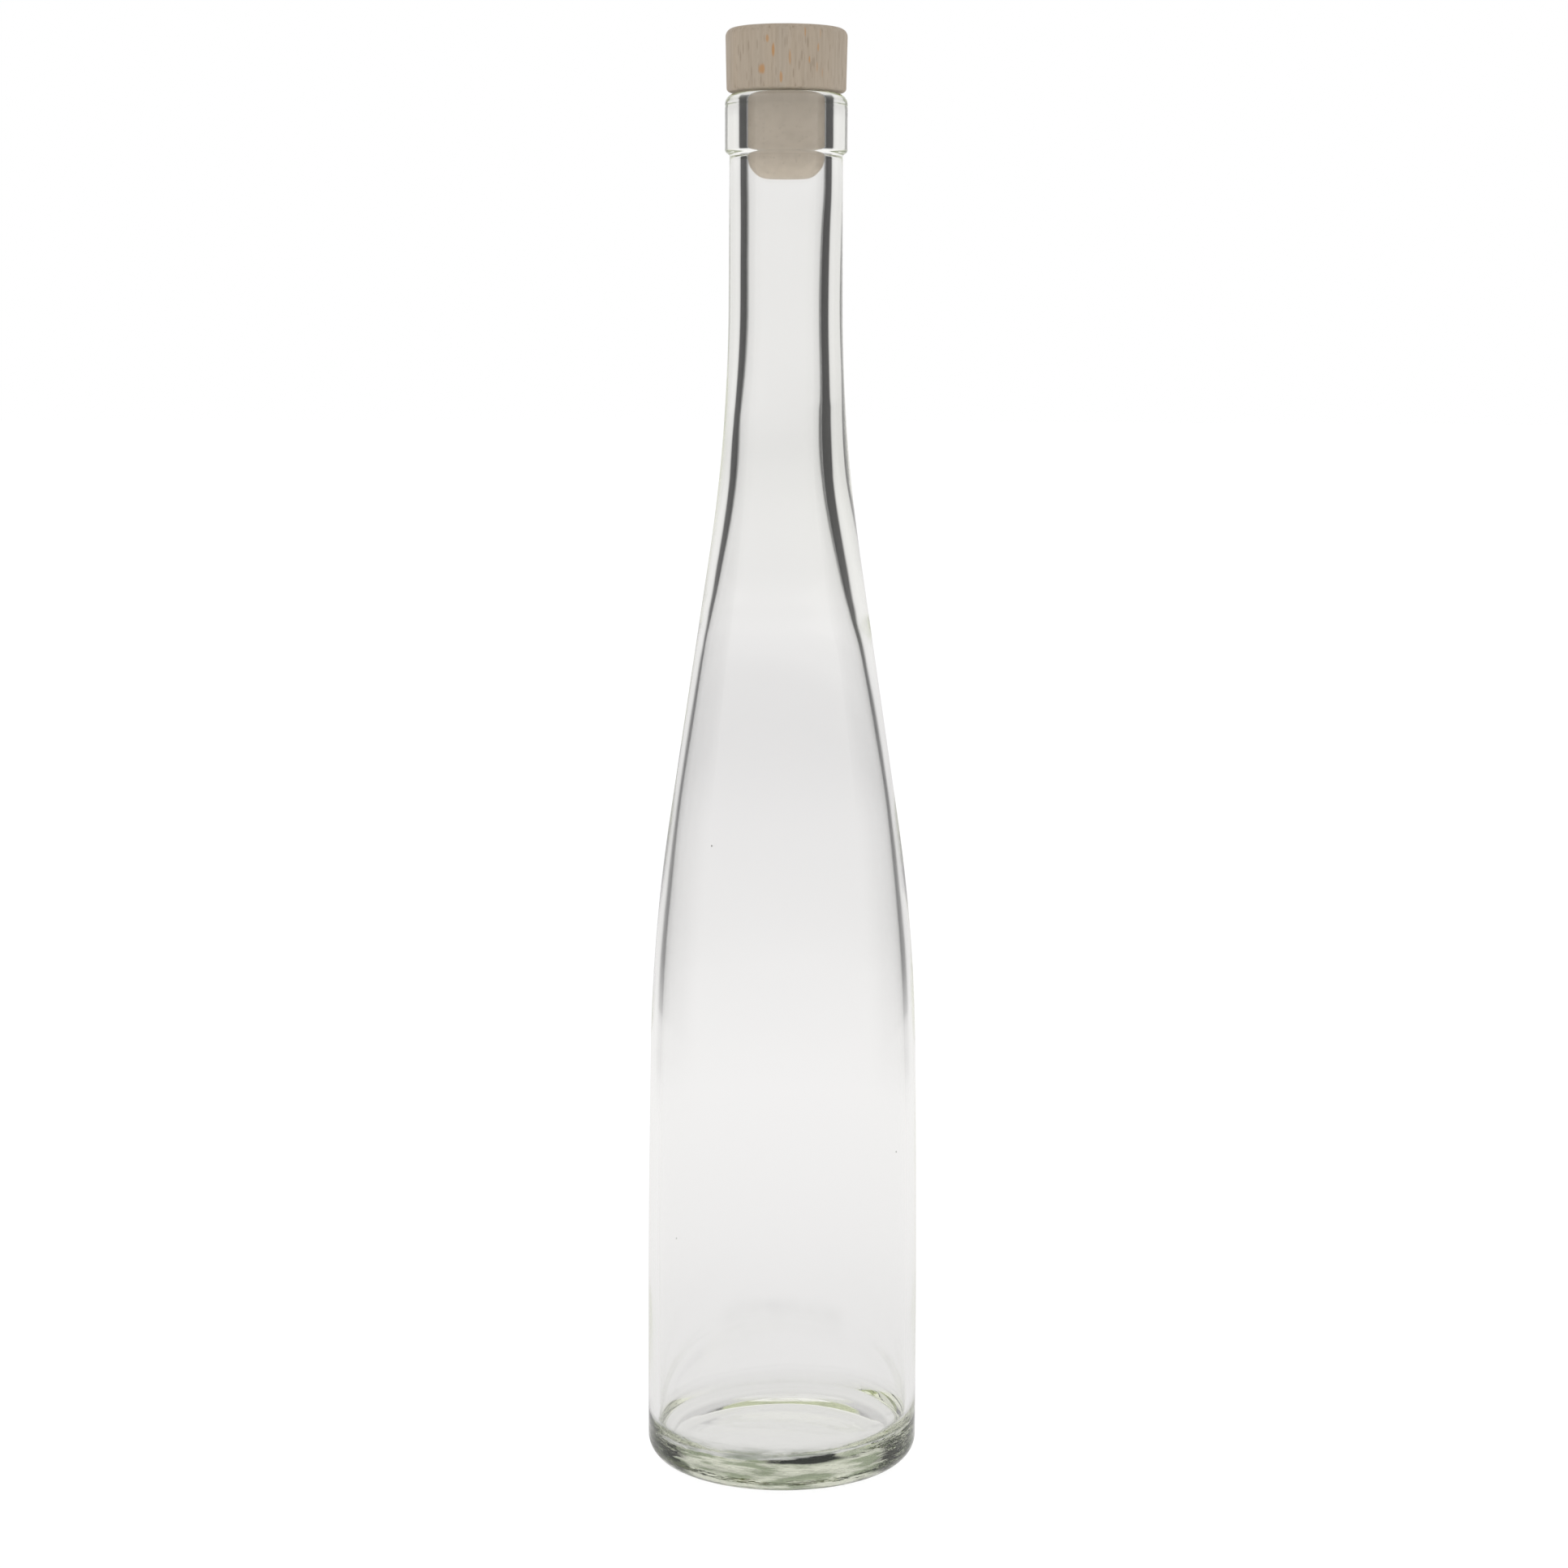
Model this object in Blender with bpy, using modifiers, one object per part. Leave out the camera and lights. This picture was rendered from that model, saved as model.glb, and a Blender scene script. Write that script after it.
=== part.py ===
# Clear glass bottle with a long tapered shoulder, closed with a two-piece T stopper:
# a turned beech head glued on the peg of a moulded plug that fills the cork mouth.
# Metres, +Z up. The origin is the middle of the foot, on the bottle's axis.

import math

import bpy

# Bottle, outside: radii at the corners of the outline, and how far apart the corners are
FOOT_RADIUS = 0.03268
BODY_DRAFT = 0.0011
WAIST_HEIGHT = 0.0543
BODY_RISE = 0.0743
TAPER_RISE = 0.1207
NECK_RISE = 0.0779
NECK_FLARE = 0.0003

# Bottle, outside: how far from each corner its round starts, along both sides
WAIST_REACH = 0.0246
SHOULDER_REACH = 0.0286
NECK_REACH = 0.0294
HEEL_RADIUS = 0.00525

# Bottle, cork mouth: bore, neck wall and the finish ring round the lip
MOUTH_RADIUS = 0.00927
NECK_WALL = 0.00395
RING_STEP = 0.00108
RING_HEIGHT = 0.0140
RING_SLOPE_RISE = 0.0013
RING_ROUND_SHARE = 0.42
LIP_OUTER_RADIUS = 0.0025
LIP_INNER_RADIUS = 0.0009
BORE_RUNOUT = 0.0036
THROAT_NARROWING = 0.0004

# Bottle, inside: the wall is thin in the body and thickens into the throat
BODY_WALL = 0.0025
TAPER_WALL = 0.0023
THICKENING_SHARE = 0.43
THROAT_DROP = 0.0063
INNER_WAIST_REACH = 0.0200
INNER_SHOULDER_REACH = 0.0190
THICKENING_REACH = 0.0110
THROAT_REACH = 0.0120
INNER_HEEL_RADIUS = 0.0050
FLOOR_HEIGHT = 0.0077
FLOOR_DOME = 0.0003

# Bottle, underneath: the flat ring that it stands on, round a shallow push-up with a stepped rim
BEARING_WIDTH = 0.0031
PUSH_RIM_WIDTH = 0.0052
PUSH_RIM_RISE = 0.0012
PUSH_DOME_RISE = 0.0003

# Stopper: beech head, and the plug whose peg is glued into the head's blind bore
HEAD_RADIUS = 0.01425
HEAD_DRAFT = 0.0003
HEAD_HEIGHT = 0.0146
HEAD_TOP_ROUND = 0.0020
HEAD_BOTTOM_ROUND = 0.0009
PEG_RADIUS = 0.0060
PEG_HEIGHT = 0.0082
PEG_CHAMFER = 0.0006
PLUG_LENGTH = 0.0196
PLUG_END_INSET = 0.0034
PLUG_END_RISE = 0.0048
PLUG_END_ROUND_SHARE = 0.44

# Clearances: plug in the bore, head over the lip and plug, glue line round the peg
PLUG_CLEARANCE = 0.0003
SEAT_GAP = 0.0003
GLUE_GAP = 0.0003

# Facets: sides of each turned piece, and points along its curves
BOTTLE_SIDES = 48
STOPPER_SIDES = 40
LONG_CURVE_POINTS = 4
ROUND_POINTS = 3
DOME_POINTS = 4
MERGE_DISTANCE = 1e-6

# Sizes that follow from the ones above
shoulder_height = WAIST_HEIGHT + BODY_RISE
neck_height = shoulder_height + TAPER_RISE
lip_height = neck_height + NECK_RISE
ring_bottom = lip_height - RING_HEIGHT
shoulder_radius = FOOT_RADIUS - BODY_DRAFT
neck_radius = MOUTH_RADIUS + NECK_WALL
ring_radius = neck_radius + RING_STEP
throat_radius = MOUTH_RADIUS - THROAT_NARROWING
plug_radius = MOUTH_RADIUS - PLUG_CLEARANCE
plug_bottom = lip_height - PLUG_LENGTH
head_bottom = lip_height + SEAT_GAP
head_top = head_bottom + HEAD_HEIGHT


def clear_scene():
    for scene_object in list(bpy.data.objects):
        bpy.data.objects.remove(scene_object, do_unlink=True)


def new_collection(name):
    collection = bpy.data.collections.new(name)
    bpy.context.scene.collection.children.link(collection)
    return collection


def new_material(name, color, roughness, transmission=0.0):
    material = bpy.data.materials.new(name)
    material.use_nodes = True
    shader = material.node_tree.nodes["Principled BSDF"]
    shader.inputs["Base Color"].default_value = (*color, 1.0)
    shader.inputs["Roughness"].default_value = roughness
    shader.inputs["Metallic"].default_value = 0.0
    shader.inputs["Transmission Weight"].default_value = transmission
    material.diffuse_color = (*color, 1.0)
    return material


def unit_step(start, end):
    # Direction from one outline point to another, with length one
    length = math.dist(start, end)
    return (end[0] - start[0]) / length, (end[1] - start[1]) / length


def round_corner(before, corner, after, reach, count=ROUND_POINTS):
    # Arc that leaves both sides of a corner at the distance reach from it.
    # At a right angle, reach is the arc's radius.
    back = unit_step(corner, before)
    ahead = unit_step(corner, after)
    half_angle = math.acos(back[0] * ahead[0] + back[1] * ahead[1]) / 2
    radius = reach * math.tan(half_angle)
    middle_distance = reach / math.cos(half_angle)
    bisector = unit_step((0.0, 0.0), (back[0] + ahead[0], back[1] + ahead[1]))
    center = (corner[0] + bisector[0] * middle_distance, corner[1] + bisector[1] * middle_distance)
    start = (corner[0] + back[0] * reach, corner[1] + back[1] * reach)
    end = (corner[0] + ahead[0] * reach, corner[1] + ahead[1] * reach)
    start_angle = math.atan2(start[1] - center[1], start[0] - center[0])
    end_angle = math.atan2(end[1] - center[1], end[0] - center[0])
    turn = (end_angle - start_angle + math.pi) % math.tau - math.pi
    angles = [start_angle + turn * step / count for step in range(count + 1)]
    return [(center[0] + radius * math.cos(a), center[1] + radius * math.sin(a)) for a in angles]


def round_all(corners):
    # Outline through a list of (point, reach, count), where reach zero keeps the corner
    outline = []
    for index, (point, reach, count) in enumerate(corners):
        if reach == 0.0:
            outline.append(point)
            continue
        before = corners[index - 1][0]
        after = corners[index + 1][0]
        outline.extend(round_corner(before, point, after, reach, count))
    return outline


def dome(rim_radius, rim_height, rise, count=DOME_POINTS):
    # Shallow arc from a rim to the axis, without the rim's own point
    radius = (rim_radius ** 2 + rise ** 2) / (2 * rise)
    rim_angle = math.asin(rim_radius / radius)
    center_height = rim_height + rise - radius
    angles = [rim_angle * (count - step) / count for step in range(1, count + 1)]
    return [(radius * math.sin(a), center_height + radius * math.cos(a)) for a in angles]


def turned(name, outline, sides, material, collection):
    # Body of revolution: the outline runs down the outer side and is turned round Z
    vertices = [(radius, 0.0, height) for radius, height in outline]
    edges = [(index, index + 1) for index in range(len(vertices) - 1)]
    mesh = bpy.data.meshes.new(name)
    mesh.from_pydata(vertices, edges, [])
    piece = bpy.data.objects.new(name, mesh)
    collection.objects.link(piece)
    screw = piece.modifiers.new("Turn", "SCREW")
    screw.axis = "Z"
    screw.angle = math.tau
    screw.steps = sides
    screw.render_steps = sides
    screw.use_smooth_shade = True
    screw.use_merge_vertices = True
    screw.merge_threshold = MERGE_DISTANCE
    mesh.materials.append(material)
    return piece


def bottle_inside():
    # From the middle of the floor out to the wall, and up to the edge of the mouth
    taper_share_left = 1.0 - THICKENING_SHARE
    outer_radius = neck_radius + NECK_FLARE
    thickening_outer = outer_radius + (shoulder_radius - outer_radius) * taper_share_left
    thickening = (thickening_outer - TAPER_WALL, shoulder_height + TAPER_RISE * THICKENING_SHARE)
    floor_edge = (FOOT_RADIUS - BODY_WALL, FLOOR_HEIGHT)
    floor_rim_radius = floor_edge[0] - INNER_HEEL_RADIUS
    floor_rim = (floor_rim_radius, FLOOR_HEIGHT)
    floor = dome(floor_rim_radius, FLOOR_HEIGHT, FLOOR_DOME)
    corners = [
        (floor_rim, 0.0, 0),
        (floor_edge, INNER_HEEL_RADIUS, ROUND_POINTS),
        ((FOOT_RADIUS - BODY_WALL, WAIST_HEIGHT), INNER_WAIST_REACH, LONG_CURVE_POINTS // 2),
        ((shoulder_radius - BODY_WALL, shoulder_height), INNER_SHOULDER_REACH, LONG_CURVE_POINTS),
        (thickening, THICKENING_REACH, ROUND_POINTS),
        ((throat_radius, neck_height - THROAT_DROP), THROAT_REACH, ROUND_POINTS),
        ((MOUTH_RADIUS, plug_bottom - BORE_RUNOUT), 0.0, 0),
        ((MOUTH_RADIUS, lip_height), LIP_INNER_RADIUS, ROUND_POINTS),
        ((ring_radius, lip_height), 0.0, 0),
    ]
    # The rim's point comes with the heel's arc, and the lip's far corner with the outside
    return list(reversed(floor)) + round_all(corners)[1:-1]


def bottle_outside():
    # From the edge of the lip down to the heel, and under the foot to the axis
    ring_round = math.hypot(RING_STEP, RING_SLOPE_RISE) * RING_ROUND_SHARE
    bearing_edge = FOOT_RADIUS - HEEL_RADIUS - BEARING_WIDTH
    push_rim = bearing_edge - PUSH_RIM_WIDTH
    corners = [
        ((MOUTH_RADIUS, lip_height), 0.0, 0),
        ((ring_radius, lip_height), LIP_OUTER_RADIUS, ROUND_POINTS),
        ((ring_radius, ring_bottom + RING_SLOPE_RISE), ring_round, ROUND_POINTS),
        ((neck_radius, ring_bottom), ring_round, ROUND_POINTS),
        ((neck_radius + NECK_FLARE, neck_height), NECK_REACH, LONG_CURVE_POINTS),
        ((shoulder_radius, shoulder_height), SHOULDER_REACH, LONG_CURVE_POINTS),
        ((FOOT_RADIUS, WAIST_HEIGHT), WAIST_REACH, LONG_CURVE_POINTS // 2),
        ((FOOT_RADIUS, 0.0), HEEL_RADIUS, ROUND_POINTS),
        ((bearing_edge, 0.0), 0.0, 0),
        ((push_rim, PUSH_RIM_RISE), 0.0, 0),
    ]
    return round_all(corners)[1:] + dome(push_rim, PUSH_RIM_RISE, PUSH_DOME_RISE)


def make_bottle(collection):
    glass = new_material("clear_glass", (0.83, 0.88, 0.84), 0.03, transmission=0.9)
    outline = bottle_inside() + bottle_outside()
    return turned("glass_bottle", outline, BOTTLE_SIDES, glass, collection)


def make_head(collection):
    # Turned head, a little slimmer at its underside, with a blind bore for the plug's peg
    beech = new_material("beech", (0.41, 0.34, 0.26), 0.6)
    bore_radius = PEG_RADIUS + GLUE_GAP
    bore_top = lip_height + PEG_HEIGHT + GLUE_GAP
    corners = [
        ((0.0, head_top), 0.0, 0),
        ((HEAD_RADIUS, head_top), HEAD_TOP_ROUND, ROUND_POINTS),
        ((HEAD_RADIUS - HEAD_DRAFT, head_bottom), HEAD_BOTTOM_ROUND, ROUND_POINTS),
        ((bore_radius, head_bottom), PEG_CHAMFER, 1),
        ((bore_radius, bore_top), 0.0, 0),
        ((0.0, bore_top), 0.0, 0),
    ]
    return turned("stopper_head", round_all(corners), STOPPER_SIDES, beech, collection)


def make_plug(collection):
    # Shank with a tapered, softened lower end, and a peg on top for the head
    synthetic = new_material("synthetic_cork", (0.42, 0.36, 0.29), 0.7)
    end_round = math.hypot(PLUG_END_INSET, PLUG_END_RISE) * PLUG_END_ROUND_SHARE
    corners = [
        ((0.0, lip_height + PEG_HEIGHT), 0.0, 0),
        ((PEG_RADIUS, lip_height + PEG_HEIGHT), PEG_CHAMFER, 1),
        ((PEG_RADIUS, lip_height), 0.0, 0),
        ((plug_radius, lip_height), PEG_CHAMFER, 1),
        ((plug_radius, plug_bottom + PLUG_END_RISE), end_round, ROUND_POINTS),
        ((plug_radius - PLUG_END_INSET, plug_bottom), end_round, ROUND_POINTS),
        ((0.0, plug_bottom), 0.0, 0),
    ]
    return turned("stopper_plug", round_all(corners), STOPPER_SIDES, synthetic, collection)


def main():
    clear_scene()
    collection = new_collection("glass_bottle_with_stopper")
    make_bottle(collection)
    make_head(collection)
    make_plug(collection)


main()
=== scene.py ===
import math

import bpy
from mathutils import Matrix, Vector


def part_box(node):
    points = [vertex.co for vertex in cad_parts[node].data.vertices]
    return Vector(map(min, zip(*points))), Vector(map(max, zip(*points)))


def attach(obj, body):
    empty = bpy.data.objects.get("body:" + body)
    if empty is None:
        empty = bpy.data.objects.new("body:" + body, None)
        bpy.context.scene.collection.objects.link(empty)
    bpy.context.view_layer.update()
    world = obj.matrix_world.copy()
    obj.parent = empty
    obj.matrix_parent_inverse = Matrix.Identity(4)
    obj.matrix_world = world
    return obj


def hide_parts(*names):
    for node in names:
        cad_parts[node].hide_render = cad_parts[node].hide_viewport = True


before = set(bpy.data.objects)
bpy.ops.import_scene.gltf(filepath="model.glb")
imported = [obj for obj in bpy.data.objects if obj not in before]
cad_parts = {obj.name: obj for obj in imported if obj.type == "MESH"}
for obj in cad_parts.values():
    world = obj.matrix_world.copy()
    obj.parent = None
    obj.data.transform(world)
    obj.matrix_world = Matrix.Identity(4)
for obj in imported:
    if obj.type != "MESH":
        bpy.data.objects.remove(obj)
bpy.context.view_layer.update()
glassLow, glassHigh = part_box("glass_bottle")
headLow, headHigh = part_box("stopper_head")
plugLow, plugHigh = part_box("stopper_plug")
print("frame loaded")


# Nodes

def addNode(tree, kind, inputs=None, **settings):
    # One node with its settings and inputs, where an input is a value or another node's socket
    node = tree.nodes.new(kind)
    for name, value in settings.items():
        setattr(node, name, value)
    for name, value in (inputs or {}).items():
        socket = node.inputs[name]
        if isinstance(value, bpy.types.NodeSocket):
            tree.links.new(value, socket)
        else:
            socket.default_value = value
    return node


def addMath(tree, operation, first, second=0.0):
    return addNode(tree, "ShaderNodeMath", {0: first, 1: second}, operation=operation).outputs[0]


def addVectorMath(tree, operation, first, second):
    node = addNode(tree, "ShaderNodeVectorMath", {0: first, 1: second}, operation=operation)
    return node.outputs[0]


def awayFromAxis(tree, place):
    # Distance from the Z axis
    flat = addVectorMath(tree, "MULTIPLY", place, (1.0, 1.0, 0.0))
    return addNode(tree, "ShaderNodeVectorMath", {0: flat}, operation="LENGTH").outputs["Value"]


def scaleVector(tree, vector, scale):
    return addNode(tree, "ShaderNodeVectorMath", {
        0: vector, "Scale": scale}, operation="SCALE").outputs[0]


def seededNoise(tree, place, seed, scale):
    # Soft noise that another seed changes
    return addNode(tree, "ShaderNodeTexNoise", {
        "Vector": place, "W": seed, "Scale": scale, "Detail": 2.0}, noise_dimensions="4D").outputs[0]


def mapValue(tree, value, fromLow, fromHigh, toLow=0.0, toHigh=1.0, kind="LINEAR"):
    node = addNode(tree, "ShaderNodeMapRange", {
        "Value": value, "From Min": fromLow, "From Max": fromHigh, "To Min": toLow, "To Max": toHigh},
        interpolation_type=kind)
    return node.outputs[0]


def mixColors(tree, share, first, second):
    # Color sockets of the Mix node, which has a set of sockets for each data type
    node = addNode(tree, "ShaderNodeMix", {0: share, 6: first, 7: second}, data_type="RGBA")
    return node.outputs[2]


def newGroup(name, kind, inputs, outputs):
    # An empty node group with named sockets, given as name and socket type
    tree = bpy.data.node_groups.new(name, kind)
    for way, sockets in (("INPUT", inputs), ("OUTPUT", outputs)):
        for socketName, socketType in sockets.items():
            tree.interface.new_socket(socketName, in_out=way, socket_type="NodeSocket" + socketType)
    return tree, tree.nodes.new("NodeGroupInput").outputs


def addGroup(tree, group, inputs):
    kind = "ShaderNodeGroup" if tree.type == "SHADER" else "GeometryNodeGroup"
    return addNode(tree, kind, inputs, node_tree=group).outputs


def setCurve(curve, points):
    # Float curve through the given points of share and value
    while len(curve.points) < len(points):
        curve.points.new(0.5, 0.5)
    for handle, place in zip(curve.points, points):
        handle.location = place
        handle.handle_type = "AUTO_CLAMPED"


# Outlines: points of radius and height, from the axis round the shape and back to the axis

def roundCorner(before, corner, after, reach, count):
    # Arc that leaves both sides of the corner at the distance reach
    before, corner, after = Vector(before), Vector(corner), Vector(after)
    back = (before - corner).normalized()
    ahead = (after - corner).normalized()
    halfAngle = back.angle(ahead) / 2
    radius = reach * math.tan(halfAngle)
    center = corner + (back + ahead).normalized() * (reach / math.cos(halfAngle))
    start = corner + back * reach - center
    end = corner + ahead * reach - center
    startAngle = math.atan2(start.y, start.x)
    turn = (math.atan2(end.y, end.x) - startAngle + math.pi) % math.tau - math.pi
    angles = [startAngle + turn * step / count for step in range(count + 1)]
    return [center + radius * Vector((math.cos(a), math.sin(a))) for a in angles]


def roundedOutline(corners):
    # Each corner is its point, the reach of its round and the number of steps
    outline = []
    for index, (point, reach, count) in enumerate(corners):
        if reach == 0.0:
            outline.append(Vector(point))
        else:
            outline += roundCorner(corners[index - 1][0], point, corners[index + 1][0], reach, count)
    return outline


def domeOutline(rimRadius, rimHeight, rise, count):
    # Shallow arc from a rim to the axis
    radius = (rimRadius ** 2 + rise ** 2) / (2 * rise)
    rimAngle = math.asin(rimRadius / radius)
    base = rimHeight + rise - radius
    angles = [rimAngle * (count - step) / count for step in range(count + 1)]
    return [Vector((radius * math.sin(a), base + radius * math.cos(a))) for a in angles]


def smoothOutline(points, count):
    # Curve through all the points, with count steps between two of them
    ends = [2 * points[0] - points[1]] + points + [2 * points[-1] - points[-2]]
    smooth = []
    for a, b, c, d in zip(ends, ends[1:], ends[2:], ends[3:]):
        for step in range(count):
            t = step / count
            smooth.append(0.5 * (2 * b + (c - a) * t + (2 * a - 5 * b + 4 * c - d) * t ** 2
                                 + (3 * b - a - 3 * c + d) * t ** 3))
    return smooth + [points[-1]]


def spacedOutline(outline, spacing):
    # The same outline with more points on its long runs
    spaced = [outline[0]]
    for start, end in zip(outline, outline[1:]):
        count = max(1, math.ceil((end - start).length / spacing))
        spaced += [start.lerp(end, step / count) for step in range(1, count + 1)]
    return spaced


# Geometry Nodes

def turnedOutlineGroup():
    # Turns a line of points round Z: a grid with a row for each point, closed where its ends meet
    tree, given = newGroup(
        "turnedOutline", "GeometryNodeTree",
        {"Outline": "Geometry", "Rows": "Int", "Segments": "Int"}, {"Mesh": "Geometry"})
    columns = addMath(tree, "ADD", given["Segments"], 1.0)
    grid = addNode(tree, "GeometryNodeMeshGrid", {
        "Size X": 1.0, "Size Y": 1.0, "Vertices X": columns, "Vertices Y": given["Rows"]}).outputs["Mesh"]
    index = addNode(tree, "GeometryNodeInputIndex").outputs[0]
    column = addMath(tree, "FLOOR", addMath(tree, "DIVIDE", index, given["Rows"]))
    row = addMath(tree, "SUBTRACT", index, addMath(tree, "MULTIPLY", column, given["Rows"]))
    turn = addMath(tree, "MULTIPLY", addMath(tree, "DIVIDE", column, given["Segments"]), math.tau)
    position = addNode(tree, "GeometryNodeInputPosition").outputs[0]
    point = addNode(tree, "GeometryNodeSampleIndex", {
        "Geometry": given["Outline"], "Value": position, "Index": row}, data_type="FLOAT_VECTOR").outputs[0]
    mark = addNode(tree, "GeometryNodeInputNamedAttribute", {"Name": "inside"}).outputs[0]
    inside = addNode(tree, "GeometryNodeSampleIndex", {
        "Geometry": given["Outline"], "Value": mark, "Index": row}, data_type="FLOAT").outputs[0]
    marked = addNode(tree, "GeometryNodeStoreNamedAttribute", {
        "Geometry": grid, "Name": "inside", "Value": inside}).outputs[0]
    turned = addNode(tree, "ShaderNodeVectorRotate", {
        "Vector": point, "Axis": (0.0, 0.0, 1.0), "Angle": turn}).outputs[0]
    placed = addNode(tree, "GeometryNodeSetPosition", {"Geometry": marked, "Position": turned}).outputs[0]
    welded = addNode(tree, "GeometryNodeMergeByDistance", {
        "Geometry": placed, "Distance": 1e-6}).outputs[0]
    outward = addNode(tree, "GeometryNodeFlipFaces", {"Mesh": welded}).outputs[0]
    addNode(tree, "NodeGroupOutput", {"Mesh": outward})
    return tree


def finishedGroup():
    # What every piece ends with: real geometry, smooth, with its material
    tree, given = newGroup(
        "finishedPiece", "GeometryNodeTree",
        {"Mesh": "Geometry", "Material": "Material"}, {"Mesh": "Geometry"})
    smooth = addNode(tree, "GeometryNodeSetShadeSmooth", {"Geometry": given["Mesh"]}).outputs[0]
    real = addNode(tree, "GeometryNodeRealizeInstances", {"Geometry": smooth}).outputs[0]
    dressed = addNode(tree, "GeometryNodeSetMaterial", {
        "Geometry": real, "Material": given["Material"]}).outputs[0]
    addNode(tree, "NodeGroupOutput", {"Mesh": dressed})
    return tree


def wornTree(turnedOutline, finishedPiece):
    # A turned piece whose surface isn't quite true
    tree, given = newGroup(
        "wornPiece", "GeometryNodeTree",
        {"Geometry": "Geometry", "Rows": "Int", "Segments": "Int", "Unevenness": "Float", "Scale": "Float",
         "Seed": "Float", "Material": "Material"},
        {"Geometry": "Geometry"})
    mesh = addGroup(tree, turnedOutline, {
        "Outline": given["Geometry"], "Rows": given["Rows"], "Segments": given["Segments"]})[0]
    position = addNode(tree, "GeometryNodeInputPosition").outputs[0]
    noise = seededNoise(tree, position, given["Seed"], given["Scale"])
    # Only inwards, so that the piece stays in its box and clear of its neighbours
    depth = addMath(tree, "MULTIPLY", addMath(tree, "MULTIPLY", noise, given["Unevenness"]), -1.0)
    normal = addNode(tree, "GeometryNodeInputNormal").outputs[0]
    offset = scaleVector(tree, normal, depth)
    worn = addNode(tree, "GeometryNodeSetPosition", {"Geometry": mesh, "Offset": offset}).outputs[0]
    finished = addGroup(tree, finishedPiece, {"Mesh": worn, "Material": given["Material"]})[0]
    addNode(tree, "NodeGroupOutput", {"Geometry": finished})
    return tree


def linesObject(name, points, edges, attribute, values):
    # A loose mesh of points, with one number for each of them
    mesh = bpy.data.meshes.new(name)
    mesh.from_pydata(points, edges, [])
    layer = mesh.attributes.new(attribute, "FLOAT", "POINT")
    for item, value in zip(layer.data, values):
        item.value = value
    obj = bpy.data.objects.new(name, mesh)
    bpy.context.scene.collection.objects.link(obj)
    return obj


def turnedPiece(name, outline, tree, values, insideCount=0):
    # A plain mesh of the outline turned round the axis by a Geometry Nodes tree
    points = [(p.x, 0.0, p.y) for p in outline]
    edges = [(index, index + 1) for index in range(len(outline) - 1)]
    marks = [1.0] * insideCount + [0.0] * (len(outline) - insideCount)
    obj = linesObject(name, points, edges, "inside", marks)
    modifier = obj.modifiers.new("turn", "NODES")
    modifier.node_group = tree
    values = {"Rows": len(outline), **values}
    for socket in tree.interface.items_tree:
        if socket.in_out == "INPUT" and socket.name in values:
            modifier[socket.identifier] = values[socket.name]
    bpy.context.view_layer.update()
    depsgraph = bpy.context.evaluated_depsgraph_get()
    mesh = bpy.data.meshes.new_from_object(obj.evaluated_get(depsgraph))
    mesh.name = name
    obj.modifiers.clear()
    obj.data = mesh
    return obj


# Shader groups, which give values, masks and colors

def stretchedNoiseGroup():
    tree, given = newGroup(
        "stretchedNoise", "ShaderNodeTree",
        {"Place": "Vector", "Stretch": "Vector", "Scale": "Float", "Detail": "Float"}, {"Value": "Float"})
    place = addVectorMath(tree, "MULTIPLY", given["Place"], given["Stretch"])
    noise = addNode(tree, "ShaderNodeTexNoise", {
        "Vector": place, "Scale": given["Scale"], "Detail": given["Detail"]}).outputs[0]
    addNode(tree, "NodeGroupOutput", {"Value": noise})
    return tree


def dashesGroup():
    # Short dashes scattered along one direction, of which only some cells keep theirs
    tree, given = newGroup(
        "scatteredDashes", "ShaderNodeTree",
        {"Place": "Vector", "Stretch": "Vector", "Scale": "Float", "Kept": "Float", "Size": "Float"},
        {"Mask": "Float"})
    place = addVectorMath(tree, "MULTIPLY", given["Place"], given["Stretch"])
    cells = addNode(tree, "ShaderNodeTexVoronoi", {"Vector": place, "Scale": given["Scale"]}).outputs
    pick = addNode(tree, "ShaderNodeSeparateXYZ", {0: cells["Color"]}).outputs["X"]
    kept = addMath(tree, "LESS_THAN", pick, given["Kept"])
    edge = addMath(tree, "MULTIPLY", given["Size"], 0.5)
    shape = mapValue(tree, cells["Distance"], given["Size"], edge, kind="SMOOTHSTEP")
    addNode(tree, "NodeGroupOutput", {"Mask": addMath(tree, "MULTIPLY", shape, kept)})
    return tree


def fleckGroup():
    # One fleck on the side of a round piece, with a soft and frayed edge
    tree, given = newGroup(
        "singleFleck", "ShaderNodeTree",
        {"Turn": "Float", "Height": "Float", "Fray": "Float", "At": "Float", "Level": "Float",
         "Half Width": "Float", "Half Length": "Float"},
        {"Mask": "Float"})
    across = addMath(tree, "DIVIDE", addMath(tree, "SUBTRACT", given["Turn"], given["At"]),
                     given["Half Width"])
    along = addMath(tree, "DIVIDE", addMath(tree, "SUBTRACT", given["Height"], given["Level"]),
                    given["Half Length"])
    squares = addMath(tree, "ADD", addMath(tree, "MULTIPLY", across, across),
                      addMath(tree, "MULTIPLY", along, along))
    away = addMath(tree, "ADD", addMath(tree, "SQRT", squares), given["Fray"])
    # Full up to 0.55 of its size and gone at 1.25
    addNode(tree, "NodeGroupOutput", {"Mask": mapValue(tree, away, 1.25, 0.55, kind="SMOOTHSTEP")})
    return tree


# Materials

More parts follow.
